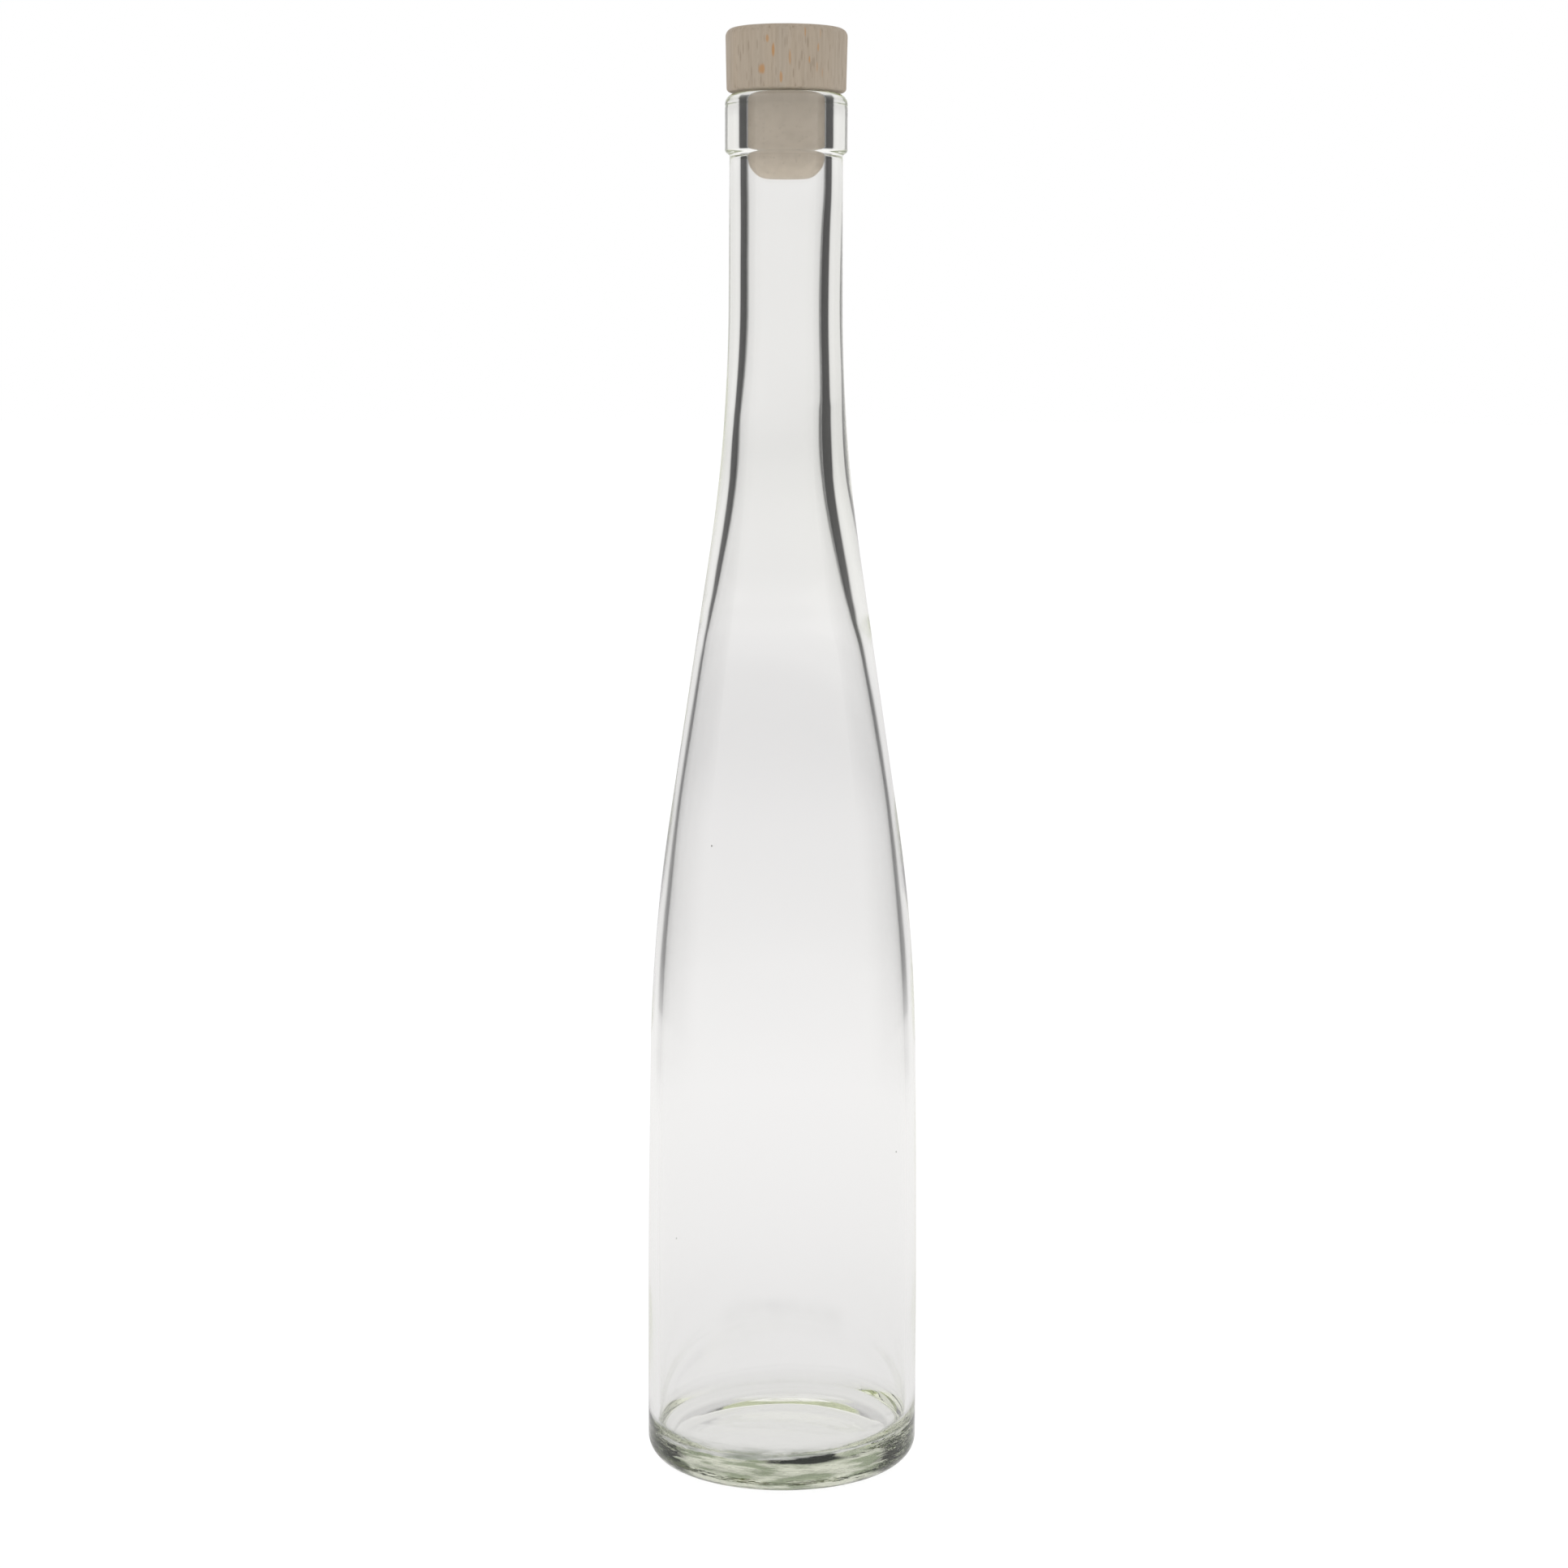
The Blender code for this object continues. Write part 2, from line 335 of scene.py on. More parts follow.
def fleckMasks(tree, singleFleck, place, radius, fray, flecks):
    # A mask for each fleck, placed by the way round the side and the height
    parts = addNode(tree, "ShaderNodeSeparateXYZ", {0: place}).outputs
    turn = addMath(tree, "ARCTAN2", parts["X"], addMath(tree, "MULTIPLY", parts["Y"], -1.0))
    way = addMath(tree, "MULTIPLY", turn, radius)
    masks = []
    for angle, height, halfWidth, halfLength, strength in flecks:
        mask = addGroup(tree, singleFleck, {
            "Turn": way, "Height": parts["Z"], "Fray": fray, "At": math.radians(angle) * radius,
            "Level": height, "Half Width": halfWidth, "Half Length": halfLength})[0]
        masks.append(addMath(tree, "MULTIPLY", mask, strength))
    return masks


def newMaterial(name):
    material = bpy.data.materials.new(name)
    material.use_nodes = True
    tree = material.node_tree
    place = addNode(tree, "ShaderNodeTexCoord").outputs["Object"]
    return material, tree, tree.nodes["Principled BSDF"], place


# Glass bottle

glassBottle = {
    "footRadius": 0.03268,
    "bodyDraft": 0.0011,
    "waistHeight": 0.0543,
    "shoulderHeight": 0.1286,
    "neckHeight": 0.2493,
    "neckRadius": 0.01322,
    "neckFlare": 0.0003,
    "ringRadius": 0.0143,
    "ringHeight": 0.0140,
    "ringSlope": 0.0007,
    "ringLine": 0.0026,        # faint line round the ring, this far below the lip
    "ringLineHalf": 0.0003,    # half its height
    "ringLineDepth": 0.00012,
    "ringRound": 0.42,         # share of the slope under the ring that each of its rounds takes
    "neckReach": 0.0294,       # how far the long curves run from the corners of the outline
    "shoulderReach": 0.0286,
    "waistReach": 0.0246,
    "lipOuterRound": 0.0025,
    "lipInnerRound": 0.0009,
    "heelRadius": 0.00525,
    "bearingWidth": 0.0031,
    "bearingReach": 0.0008,
    "pushRimReach": 0.0012,
    "pushRimWidth": 0.0056,
    "pushRimRise": 0.0003,
    "pushDomeRise": 0.0002,
    "floorHeight": 0.0073,
    "floorDome": 0.0001,
    "innerHeelRadius": 0.0050,
    # Inner wall: height and radius, from above the heel to the mouth
    "innerWall": [(0.0150, 0.03018), (0.0450, 0.03018), (0.0700, 0.0299), (0.0990, 0.02945),
                  (0.1190, 0.02882), (0.1390, 0.02721), (0.1587, 0.02502), (0.1780, 0.02200),
                  (0.1976, 0.01860), (0.2070, 0.01640), (0.2170, 0.01405), (0.2360, 0.01065),
                  (0.2550, 0.00961), (0.2740, 0.00881), (0.2930, 0.00888), (0.3050, 0.00920),
                  (0.3116, 0.00927), (0.3210, 0.00927)],
    "segments": 160,
    "rowSpacing": 0.0022,
    # What blowing does to the wall
    "shift": -0.0008,          # how far the bore leans to the left, at most
    # How far it leans, by the share of the height
    "shiftCurve": [(0.0, 0.0), (0.48, 0.1), (0.56, 0.2), (0.645, 0.75), (0.70, 0.95), (0.74, 1.0),
                   (0.783, 0.68), (0.827, 0.35), (0.87, 0.3), (0.914, 0.12), (0.935, 0.0), (1.0, 0.0)],
    "tiltRight": 0.043,        # slope of the floor, up to the right
    "tiltBack": 0.012,         # and up to the back
    "tiltTop": 0.030,          # the slope fades out from the bottom height to the top height
    "tiltBottom": 0.010,
    "wave": 0.0009,            # slow waves in the thickness of the wall, by the share of the height
    "waveCurve": [(0.0, 0.0), (0.035, 0.0), (0.07, 0.9), (0.11, 0.8), (0.16, 0.25), (0.45, 0.15),
                  (0.62, 0.45), (0.85, 0.3), (0.92, 0.0), (1.0, 0.0)],
    "waveStretch": (1.0, 1.0, 0.35),
    "waveScale": 34.0,
    "baseWave": 0.0001,        # unevenness of the floor and the underside
    "baseScale": 130.0,
    "baseEdge": (0.0238, 0.0200, 0.0, 1.0),     # radius from and to, strength from and to
    "underTop": 0.0040,        # it fades out up to here on the underside
    "floorTop": 0.0200,        # and up to here on the floor
    "floorShare": 0.4,         # strength on the floor
    "seed": 3.7,
    # Seeds in the glass: angle to the right of the front, height and radius
    "seeds": [(-38.0, 0.1535, 0.00022), (58.0, 0.0795, 0.00020), (36.0, 0.0240, 0.00026),
              (-52.0, 0.0590, 0.00018)],
    "seedDepth": 0.0012,       # out from the inner side of the wall
    # Look
    "tint": (0.990, 0.990, 0.990, 1.0),
    "thickColor": (0.62, 0.67, 0.38, 1.0),
    "thickDensity": 10.0,
    "ior": 1.52,
    "smudgeStretch": (1.0, 1.0, 0.7),
    "smudgeScale": 60.0,
    "smudgeDetail": 4.0,
    "smudgeRange": (0.52, 0.8, 0.0, 0.02),      # noise from and to, roughness from and to
    "rippleStretch": (1.0, 1.0, 0.4),
    "rippleScale": 140.0,
    "rippleDetail": 2.0,
    "rippleStrength": 0.12,
    "rippleDepth": 0.00006,
    # Painted shade in the heel: dark streaks for dark surroundings seen through the thick glass, which fade
    # out between two heights, two radii and two places front to back
    "streakStretch": (1.0, 1.0, 6.5),
    "streakScale": 105.0,
    "streakDetail": 3.0,
    "streakHeights": (0.0125, 0.0085),
    "streakRadii": (0.0270, 0.0290),
    "streakDepths": (0.004, -0.008),
    "streakRange": (0.43, 0.58, 0.25, 1.0),     # noise from and to, strength from and to
    "streakBump": 44.0,
    # painted shade colour of the streaks
    "streakShadeColor": (0.18, 0.22, 0.152, 1.0),
    # Dark painted shade marks, for dark surroundings seen through the heel: angle to the right of the
    # front, height, half width, half length and strength
    "shadeMarks": [(10.5, 0.0085, 0.0132, 0.0007, 1.0), (14.0, 0.0088, 0.0070, 0.0012, 1.0),
              (60.0, 0.0085, 0.0110, 0.0060, 0.12), (64.0, 0.0080, 0.0070, 0.0040, 0.12),
              (-64.0, 0.0055, 0.0100, 0.0050, 0.12), (-68.0, 0.0052, 0.0060, 0.0030, 0.12),
              (-30.0, 0.0052, 0.0060, 0.0008, 0.3)],
    # near-black painted shade of the marks above
    "shadeMarkColor": (0.0006, 0.0009, 0.0006, 1.0),
    "shadeMarkFray": (0.3, 0.7, -0.6, 0.6),          # streaks from and to, fray from and to
}


def bottleTree(turnedOutline, finishedPiece):
    # The turned glass, with what blowing does to the wall of its hollow
    b = glassBottle
    tree, given = newGroup(
        "blownBottle", "GeometryNodeTree",
        {"Geometry": "Geometry", "Rows": "Int", "Segments": "Int", "Height": "Float", "Wall Shift": "Float",
         "Floor Tilt": "Vector", "Wall Wave": "Float", "Seed": "Float", "Seeds": "Object",
         "Material": "Material"},
        {"Geometry": "Geometry"})
    mesh = addGroup(tree, turnedOutline, {
        "Outline": given["Geometry"], "Rows": given["Rows"], "Segments": given["Segments"]})[0]
    position = addNode(tree, "GeometryNodeInputPosition").outputs[0]
    parts = addNode(tree, "ShaderNodeSeparateXYZ", {0: position}).outputs
    share = addMath(tree, "DIVIDE", parts["Z"], given["Height"])

    # The bore sits off centre where the taper runs into the neck
    shiftCurve = addNode(tree, "ShaderNodeFloatCurve", {"Value": share})
    setCurve(shiftCurve.mapping.curves[0], b["shiftCurve"])
    shift = addMath(tree, "MULTIPLY", shiftCurve.outputs[0], given["Wall Shift"])

    # The floor slopes up to the right, and a little to the back
    low = mapValue(tree, parts["Z"], b["tiltTop"], b["tiltBottom"], kind="SMOOTHSTEP")
    slope = addNode(tree, "ShaderNodeVectorMath", {
        0: position, 1: given["Floor Tilt"]}, operation="DOT_PRODUCT").outputs["Value"]
    lift = addMath(tree, "MULTIPLY", slope, low)

    # Slow waves in the thickness of the wall, none where the plug sits
    stretched = addVectorMath(tree, "MULTIPLY", position, b["waveStretch"])
    noise = seededNoise(tree, stretched, given["Seed"], b["waveScale"])
    waveCurve = addNode(tree, "ShaderNodeFloatCurve", {"Value": share})
    setCurve(waveCurve.mapping.curves[0], b["waveCurve"])
    wave = addMath(tree, "MULTIPLY", addMath(tree, "SUBTRACT", noise, 0.5), given["Wall Wave"])
    wave = addMath(tree, "MULTIPLY", wave, waveCurve.outputs[0])
    outward = addNode(tree, "ShaderNodeVectorMath", {
        0: addVectorMath(tree, "MULTIPLY", position, (1.0, 1.0, 0.0))}, operation="NORMALIZE").outputs[0]
    waves = scaleVector(tree, outward, wave)
    change = addNode(tree, "ShaderNodeCombineXYZ", {"X": shift, "Z": lift}).outputs[0]
    change = addVectorMath(tree, "ADD", change, waves)
    inside = addNode(tree, "GeometryNodeInputNamedAttribute", {"Name": "inside"}).outputs[0]
    offset = scaleVector(tree, change, inside)
    blown = addNode(tree, "GeometryNodeSetPosition", {"Geometry": mesh, "Offset": offset}).outputs[0]

    # The floor and the underside are a little uneven too
    fine = seededNoise(tree, position, given["Seed"], b["baseScale"])
    under = mapValue(tree, parts["Z"], b["underTop"], 0.0, kind="SMOOTHSTEP")
    over = mapValue(tree, parts["Z"], b["floorTop"], glassLow.z, 0.0, b["floorShare"],
                    kind="SMOOTHSTEP")
    part = addNode(tree, "ShaderNodeMix", {0: inside, 2: under, 3: over}, data_type="FLOAT").outputs[0]
    middle = mapValue(tree, awayFromAxis(tree, position), *b["baseEdge"], kind="SMOOTHSTEP")
    part = addMath(tree, "MULTIPLY", part, middle)
    rise = addMath(tree, "MULTIPLY", addMath(tree, "SUBTRACT", fine, 0.5), b["baseWave"])
    rise = addMath(tree, "MULTIPLY", rise, part)
    lifted = addNode(tree, "ShaderNodeCombineXYZ", {"Z": rise}).outputs[0]
    blown = addNode(tree, "GeometryNodeSetPosition", {"Geometry": blown, "Offset": lifted}).outputs[0]

    # Seeds: tiny round bubbles in the wall
    spots = addNode(tree, "GeometryNodeObjectInfo", {"Object": given["Seeds"]}).outputs["Geometry"]
    bubble = addNode(tree, "GeometryNodeMeshIcoSphere", {"Radius": 1.0, "Subdivisions": 3}).outputs["Mesh"]
    hollow = addNode(tree, "GeometryNodeFlipFaces", {"Mesh": bubble}).outputs[0]
    size = addNode(tree, "GeometryNodeInputNamedAttribute", {"Name": "size"}).outputs[0]
    bubbles = addNode(tree, "GeometryNodeInstanceOnPoints", {
        "Points": spots, "Instance": hollow, "Scale": size}).outputs[0]
    joined = addNode(tree, "GeometryNodeJoinGeometry")
    tree.links.new(bubbles, joined.inputs[0])
    tree.links.new(blown, joined.inputs[0])
    finished = addGroup(tree, finishedPiece, {"Mesh": joined.outputs[0], "Material": given["Material"]})[0]
    addNode(tree, "NodeGroupOutput", {"Geometry": finished})
    return tree


def glassMaterial(stretchedNoise, singleFleck):
    b = glassBottle
    material, tree, shader, place = newMaterial("clearGlass")
    # Painted shade in the thick glass of the heel, for dark surroundings seen through it: soft dark streaks
    # in front, and single dark marks
    parts = addNode(tree, "ShaderNodeSeparateXYZ", {0: place}).outputs
    streaks = addGroup(tree, stretchedNoise, {
        "Place": place, "Stretch": b["streakStretch"], "Scale": b["streakScale"],
        "Detail": b["streakDetail"]})[0]
    onWall = mapValue(tree, awayFromAxis(tree, place), *b["streakRadii"], kind="SMOOTHSTEP")
    inFront = mapValue(tree, parts["Y"], *b["streakDepths"], kind="SMOOTHSTEP")
    heel = mapValue(tree, parts["Z"], *b["streakHeights"], kind="SMOOTHSTEP")
    heel = addMath(tree, "MULTIPLY", addMath(tree, "MULTIPLY", heel, onWall), inFront)
    share = addMath(tree, "MULTIPLY", mapValue(tree, streaks, *b["streakRange"]), heel)
    # Painted shade: the heel darkens along the streaks
    color = mixColors(tree, share, b["tint"], b["streakShadeColor"])
    fray = mapValue(tree, streaks, *b["shadeMarkFray"])
    # Painted shade: near-black marks on the heel, where the glass shows dark surroundings
    for mask in fleckMasks(tree, singleFleck, place, b["footRadius"], fray, b["shadeMarks"]):
        color = mixColors(tree, addMath(tree, "MULTIPLY", mask, onWall), color, b["shadeMarkColor"])
    tree.links.new(color, shader.inputs["Base Color"])
    shader.inputs["IOR"].default_value = b["ior"]
    shader.inputs["Transmission Weight"].default_value = 1.0
    smudge = addGroup(tree, stretchedNoise, {
        "Place": place, "Stretch": b["smudgeStretch"], "Scale": b["smudgeScale"],
        "Detail": b["smudgeDetail"]})[0]
    tree.links.new(mapValue(tree, smudge, *b["smudgeRange"]), shader.inputs["Roughness"])
    ripple = addGroup(tree, stretchedNoise, {
        "Place": place, "Stretch": b["rippleStretch"], "Scale": b["rippleScale"],
        "Detail": b["rippleDetail"]})[0]
    heelRipple = addMath(tree, "MULTIPLY", addMath(tree, "MULTIPLY", streaks, heel), b["streakBump"])
    ripple = addMath(tree, "ADD", ripple, heelRipple)
    bump = addNode(tree, "ShaderNodeBump", {
        "Strength": b["rippleStrength"], "Distance": b["rippleDepth"],
        "Height": ripple}).outputs[0]
    tree.links.new(bump, shader.inputs["Normal"])
    volume = addNode(tree, "ShaderNodeVolumeAbsorption", {
        "Color": b["thickColor"], "Density": b["thickDensity"]}).outputs[0]
    tree.links.new(volume, tree.nodes["Material Output"].inputs["Volume"])
    return material


def bottleOutlines():
    # The inside from the middle of the floor to the edge of the lip, and the outside from there on
    b = glassBottle
    lip = glassHigh.z
    shoulderRadius = b["footRadius"] - b["bodyDraft"]
    wall = [Vector((radius, height)) for height, radius in b["innerWall"]]
    floorRim = wall[0].x - b["innerHeelRadius"]
    bearingEdge = b["footRadius"] - b["heelRadius"] - b["bearingWidth"]
    pushRim = bearingEdge - b["pushRimWidth"]
    ringBottom = lip - b["ringHeight"]
    ringRound = b["ringRound"] * math.hypot(b["ringRadius"] - b["neckRadius"], b["ringSlope"])
    floor = domeOutline(floorRim, b["floorHeight"], b["floorDome"], 12)
    heel = roundCorner((floorRim, b["floorHeight"]), (wall[0].x, b["floorHeight"]), wall[0],
                       b["innerHeelRadius"], 14)
    mouth = (wall[-1].x, lip)
    lipRound = roundCorner(wall[-1], mouth, (b["ringRadius"], lip), b["lipInnerRound"], 8)
    inner = floor[::-1] + heel[1:] + smoothOutline(wall, 8)

    lineTop = lip - b["ringLine"]
    lineEdge = b["ringRadius"] - b["ringLineDepth"]
    outer = roundedOutline([
        (mouth, 0.0, 0),
        ((b["ringRadius"], lip), b["lipOuterRound"], 12),
        ((b["ringRadius"], lineTop), 0.0, 0),
        ((lineEdge, lineTop - b["ringLineHalf"]), 0.0, 0),
        ((b["ringRadius"], lineTop - 2 * b["ringLineHalf"]), 0.0, 0),
        ((b["ringRadius"], ringBottom + b["ringSlope"]), ringRound, 8),
        ((b["neckRadius"], ringBottom), ringRound, 8),
        ((b["neckRadius"] + b["neckFlare"], b["neckHeight"]), b["neckReach"], 14),
        ((shoulderRadius, b["shoulderHeight"]), b["shoulderReach"], 14),
        ((b["footRadius"], b["waistHeight"]), b["waistReach"], 6),
        ((b["footRadius"], 0.0), b["heelRadius"], 14),
        ((bearingEdge, 0.0), b["bearingReach"], 5),
        ((pushRim, b["pushRimRise"]), b["pushRimReach"], 6),
        ((0.0, b["pushRimRise"] + b["pushDomeRise"]), 0.0, 0),
    ])[1:-1]
    dome = domeOutline(pushRim - b["pushRimReach"], b["pushRimRise"], b["pushDomeRise"], 6)
    outside = lipRound + outer + dome[1:]
    return spacedOutline(inner, b["rowSpacing"]), spacedOutline(outside, b["rowSpacing"])


def seedPoints():
    # Middle of the wall at each seed's height, at its angle to the right of the front
    points = []
    wall = glassBottle["innerWall"]
    for angle, height, _ in glassBottle["seeds"]:
        inner = next(high[1] + (low[1] - high[1]) * (high[0] - height) / (high[0] - low[0])
                     for low, high in zip(wall, wall[1:]) if low[0] <= height <= high[0])
        radius = inner + glassBottle["seedDepth"]
        turn = math.radians(angle)
        points.append((radius * math.sin(turn), -radius * math.cos(turn), height))
    return points


def makeBottle(turnedOutline, finishedPiece, material):
    b = glassBottle
    inner, outer = bottleOutlines()
    sizes = [seed[2] for seed in b["seeds"]]
    seeds = linesObject("glass_seeds", seedPoints(), [], "size", sizes)
    tilt = (b["tiltRight"], b["tiltBack"], 0.0)
    bottle = turnedPiece("bottle_glass", inner + outer, bottleTree(turnedOutline, finishedPiece), {
        "Segments": b["segments"], "Height": glassHigh.z, "Wall Shift": b["shift"],
        "Floor Tilt": tilt, "Wall Wave": b["wave"], "Seed": b["seed"],
        "Seeds": seeds, "Material": material}, insideCount=len(inner))
    bpy.data.objects.remove(seeds)
    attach(bottle, "bottle")
    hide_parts("glass_bottle")


# Head of the stopper

beechHead = {
    "radius": 0.01425,
    "draft": 0.0003,
    "topRound": 0.0020,
    "bottomRound": 0.0009,
    "boreRadius": 0.0063,
    "boreDepth": 0.0085,
    "boreRound": 0.0006,
    "segments": 144,
    "rowSpacing": 0.0006,
    "unevenness": 0.00008,
    "unevenScale": 160.0,
    "seed": 1.3,
    # Look
    "color": (0.404, 0.344, 0.275, 1.0),
    "warm": (0.416, 0.342, 0.261, 1.0),
    "dark": (0.250, 0.195, 0.140, 1.0),
    "fleckColor": (0.43, 0.235, 0.100, 1.0),
    "fibreScale": 1300.0,
    "fibreDetail": 5.0,
    "fibreStretch": (1.0, 1.0, 0.06),
    "fibreRange": (0.42, 0.75, 0.0, 0.34),      # noise from and to, share of the dark color from and to
    "bandScale": 190.0,
    "bandDetail": 2.0,
    "bandStretch": (1.0, 0.4, 0.08),
    "bandRange": (0.3, 0.7),
    "rayScale": 1500.0,
    "rayStretch": (1.0, 1.0, 0.17),
    "rayKept": 0.42,
    "raySize": 0.42,
    "rayRange": (0.35, 0.65, 0.20, 0.62),
    "poreScale": 2900.0,
    "poreStretch": (1.0, 1.0, 0.10),
    "poreKept": 0.3,
    "poreSize": 0.5,
    "poreShare": 0.22,
    "roughness": (0.3, 0.7, 0.57, 0.69),        # fibre from and to, roughness from and to
    "specular": 0.3,
    "bumpStrength": 0.35,
    "bumpDepth": 0.00006,
    "bumpFibre": 0.6,
    "fleckFray": (0.3, 0.7, -0.3, 0.3),
    # Single flecks: angle to the right of the front, height, half width, half length and strength
    "flecks": [(-18.2, 0.3386, 0.00038, 0.0009, 0.72), (-12.7, 0.3360, 0.00034, 0.0015, 0.9),
               (-23.9, 0.3318, 0.00080, 0.0013, 0.855), (-5.0, 0.3299, 0.00036, 0.0012, 0.765),
               (3.2, 0.3343, 0.00026, 0.0017, 0.585), (17.5, 0.3401, 0.00020, 0.0012, 0.63),
               (21.8, 0.3339, 0.00026, 0.0009, 0.72), (30.8, 0.3367, 0.00028, 0.0011, 0.63),
               (30.0, 0.3324, 0.00030, 0.0012, 0.315), (36.0, 0.3311, 0.00026, 0.0012, 0.315),
               (33.2, 0.3399, 0.00022, 0.0012, 0.315), (128.0, 0.3350, 0.00040, 0.0014, 0.81),
               (196.0, 0.3381, 0.00030, 0.0013, 0.72), (221.0, 0.3325, 0.00055, 0.0012, 0.81),
               (262.0, 0.3357, 0.00030, 0.0016, 0.63)],
}


def beechMaterial(stretchedNoise, scatteredDashes, singleFleck):
    h = beechHead
    material, tree, shader, place = newMaterial("sandedBeech")
    fibre = addGroup(tree, stretchedNoise, {
        "Place": place, "Stretch": h["fibreStretch"], "Scale": h["fibreScale"],
        "Detail": h["fibreDetail"]})[0]
    band = addGroup(tree, stretchedNoise, {
        "Place": place, "Stretch": h["bandStretch"], "Scale": h["bandScale"],
        "Detail": h["bandDetail"]})[0]
    rays = addGroup(tree, scatteredDashes, {
        "Place": place, "Stretch": h["rayStretch"], "Scale": h["rayScale"],
        "Kept": h["rayKept"], "Size": h["raySize"]})[0]
    pores = addGroup(tree, scatteredDashes, {
        "Place": place, "Stretch": h["poreStretch"], "Scale": h["poreScale"],
        "Kept": h["poreKept"], "Size": h["poreSize"]})[0]

    color = mixColors(tree, mapValue(tree, band, *h["bandRange"]), h["color"], h["warm"])
    color = mixColors(tree, mapValue(tree, fibre, *h["fibreRange"]), color, h["dark"])
    rayShare = addMath(tree, "MULTIPLY", rays, mapValue(tree, band, *h["rayRange"]))
    color = mixColors(tree, rayShare, color, h["dark"])
    color = mixColors(tree, addMath(tree, "MULTIPLY", pores, h["poreShare"]), color, h["dark"])

    fray = mapValue(tree, fibre, *h["fleckFray"])
    for mask in fleckMasks(tree, singleFleck, place, h["radius"], fray, h["flecks"]):
        color = mixColors(tree, mask, color, h["fleckColor"])
    tree.links.new(color, shader.inputs["Base Color"])

    tree.links.new(mapValue(tree, fibre, *h["roughness"]), shader.inputs["Roughness"])
    shader.inputs["Specular IOR Level"].default_value = h["specular"]
    height = addMath(tree, "SUBTRACT", addMath(tree, "MULTIPLY", fibre, h["bumpFibre"]), pores)
    bump = addNode(tree, "ShaderNodeBump", {
        "Strength": h["bumpStrength"], "Distance": h["bumpDepth"], "Height": height}).outputs[0]
    tree.links.new(bump, shader.inputs["Normal"])
    return material


def makeHead(worn, material):
    h = beechHead
    boreTop = headLow.z + h["boreDepth"]
    outline = spacedOutline(roundedOutline([
        ((0.0, headHigh.z), 0.0, 0),
        ((h["radius"], headHigh.z), h["topRound"], 12),
        ((h["radius"] - h["draft"], headLow.z), h["bottomRound"], 8),
        ((h["boreRadius"], headLow.z), h["boreRound"], 3),
        ((h["boreRadius"], boreTop), 0.0, 0),
        ((0.0, boreTop), 0.0, 0),
    ]), h["rowSpacing"])
    head = turnedPiece("beech_head", outline, worn, {
        "Segments": h["segments"], "Unevenness": h["unevenness"], "Scale": h["unevenScale"],
        "Seed": h["seed"], "Material": material})
    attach(head, "stopper")
    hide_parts("stopper_head")


# Plug of the stopper

mouldedPlug = {
    "radius": 0.00897,
    "endInset": 0.0028,
    "endRise": 0.0031,
    "endRound": 0.44,          # share of the slope at the end that each of its rounds takes
    "pegRadius": 0.0060,
    "pegHeight": 0.0082,
    "chamfer": 0.0006,
    "segments": 128,
    "rowSpacing": 0.0006,
    "unevenness": 0.00003,
    "unevenScale": 240.0,
    "seed": 5.1,
    # Look
    "color": (0.425, 0.360, 0.290, 1.0),
    "spot": (0.350, 0.288, 0.222, 1.0),
    "litEndColor": (0.580, 0.492, 0.397, 1.0),     # painted light: paler towards the end that dips into the neck, where light comes up through the hollow
    "litEndHeights": (0.3255, 0.3095),
    "cloudScale": 420.0,
    "cloudDetail": 4.0,
    "cloudRange": (0.4, 0.8, 0.0, 0.35),        # noise from and to, share of the spot color from and to
    "spotScale": 1500.0,
    "spotKept": 0.25,
    "spotSize": 0.45,
    "spotShare": 0.4,
    "roughness": (0.3, 0.7, 0.62, 0.76),        # cloud from and to, roughness from and to
    "specular": 0.3,
    "cellScale": 2600.0,
    "bumpStrength": 0.3,
    "bumpDepth": 0.00005,
}


def plugMaterial(stretchedNoise, scatteredDashes):
    p = mouldedPlug
    material, tree, shader, place = newMaterial("mouldedCork")
    cloud = addGroup(tree, stretchedNoise, {
        "Place": place, "Stretch": (1.0, 1.0, 1.0), "Scale": p["cloudScale"],
        "Detail": p["cloudDetail"]})[0]
    cells = addNode(tree, "ShaderNodeTexVoronoi", {
        "Vector": place, "Scale": p["cellScale"]}).outputs[0]
    spots = addGroup(tree, scatteredDashes, {
        "Place": place, "Stretch": (1.0, 1.0, 1.0), "Scale": p["spotScale"],
        "Kept": p["spotKept"], "Size": p["spotSize"]})[0]
    height = addNode(tree, "ShaderNodeSeparateXYZ", {0: place}).outputs["Z"]
    # Painted light: the plug grows paler towards the end that dips into the neck
    color = mixColors(tree, mapValue(tree, height, *p["litEndHeights"]), p["color"], p["litEndColor"])
    color = mixColors(tree, mapValue(tree, cloud, *p["cloudRange"]), color, p["spot"])
    color = mixColors(tree, addMath(tree, "MULTIPLY", spots, p["spotShare"]), color, p["spot"])
    tree.links.new(color, shader.inputs["Base Color"])
    tree.links.new(mapValue(tree, cloud, *p["roughness"]), shader.inputs["Roughness"])
    shader.inputs["Specular IOR Level"].default_value = p["specular"]
    bump = addNode(tree, "ShaderNodeBump", {
        "Strength": p["bumpStrength"], "Distance": p["bumpDepth"], "Height": cells}).outputs[0]
    tree.links.new(bump, shader.inputs["Normal"])
    return material


